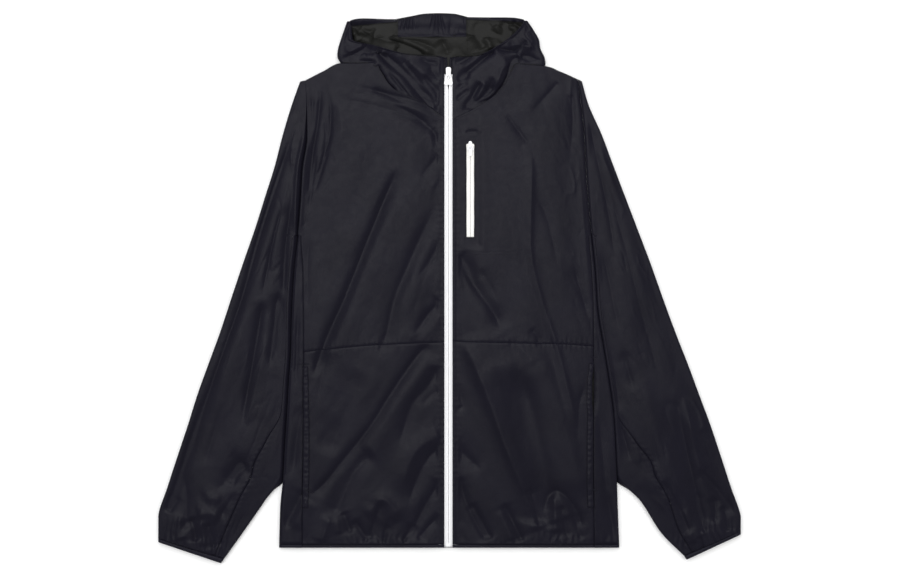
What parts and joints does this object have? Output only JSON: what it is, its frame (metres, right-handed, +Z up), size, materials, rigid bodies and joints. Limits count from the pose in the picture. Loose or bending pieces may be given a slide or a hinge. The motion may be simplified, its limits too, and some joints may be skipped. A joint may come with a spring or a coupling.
{
  "type": "windbreaker jacket",
  "caption": "Hooded windbreaker with zipped front, zipped chest pocket, slanted cuffs and bound hem, laid flat on its back with the sleeves straight beside it.",
  "frame": {"origin": "on the floor under the middle of the jacket's outline", "axes": "+X towards the wearer's left sleeve, +Y towards the hood, +Z up through the front"},
  "size_m": [0.8404, 0.794, 0.0107],
  "materials": {
    "shell": "fine plain-woven nylon with a soft sheen",
    "binding": "narrow folded elastic binding",
    "zip_tape": "white woven polyester zip tape",
    "slider": "white enamelled die-cast zinc"
  },
  "bodies": {
    "jacket": {"back": "shell", "front_right_upper": "shell", "front_left_upper": "shell", "front_right_lower": "shell", "front_left_lower": "shell", "pocket_welt_right": "shell", "pocket_welt_left": "shell", "sleeve_right_upper": "shell", "sleeve_left_upper": "shell", "sleeve_right_under": "shell", "sleeve_left_under": "shell", "cuff_right": "binding", "cuff_left": "binding", "hood_right": "shell", "hood_left": "shell", "hood_centre": "shell", "hood_brim_facing": "shell", "hem_back": "binding", "hem_right": "binding", "hem_left": "binding", "zip_tape_right": "zip_tape", "zip_tape_left": "zip_tape", "zip_coil": "zip_tape", "zip_slider": "slider", "zip_stop": "slider", "chest_zip_tape_right": "zip_tape", "chest_zip_tape_left": "zip_tape", "chest_zip_slider": "slider"},
    "zip_pull": {"zip_pull": "slider"},
    "chest_zip_pull": {"chest_zip_pull": "slider"}
  },
  "joints": [
    {"name": "zip_pull_turn", "type": "hinge", "parent": "jacket", "child": "zip_pull", "pos_m": [-0.0016, 0.303, 0.00625], "axis": [1, 0, 0], "range_deg": [0, 180]},
    {"name": "chest_zip_pull_turn", "type": "hinge", "parent": "jacket", "child": "chest_zip_pull", "pos_m": [0.03, 0.2037, 0.00885], "axis": [-1, 0, 0], "range_deg": [0, 180]}
  ]
}
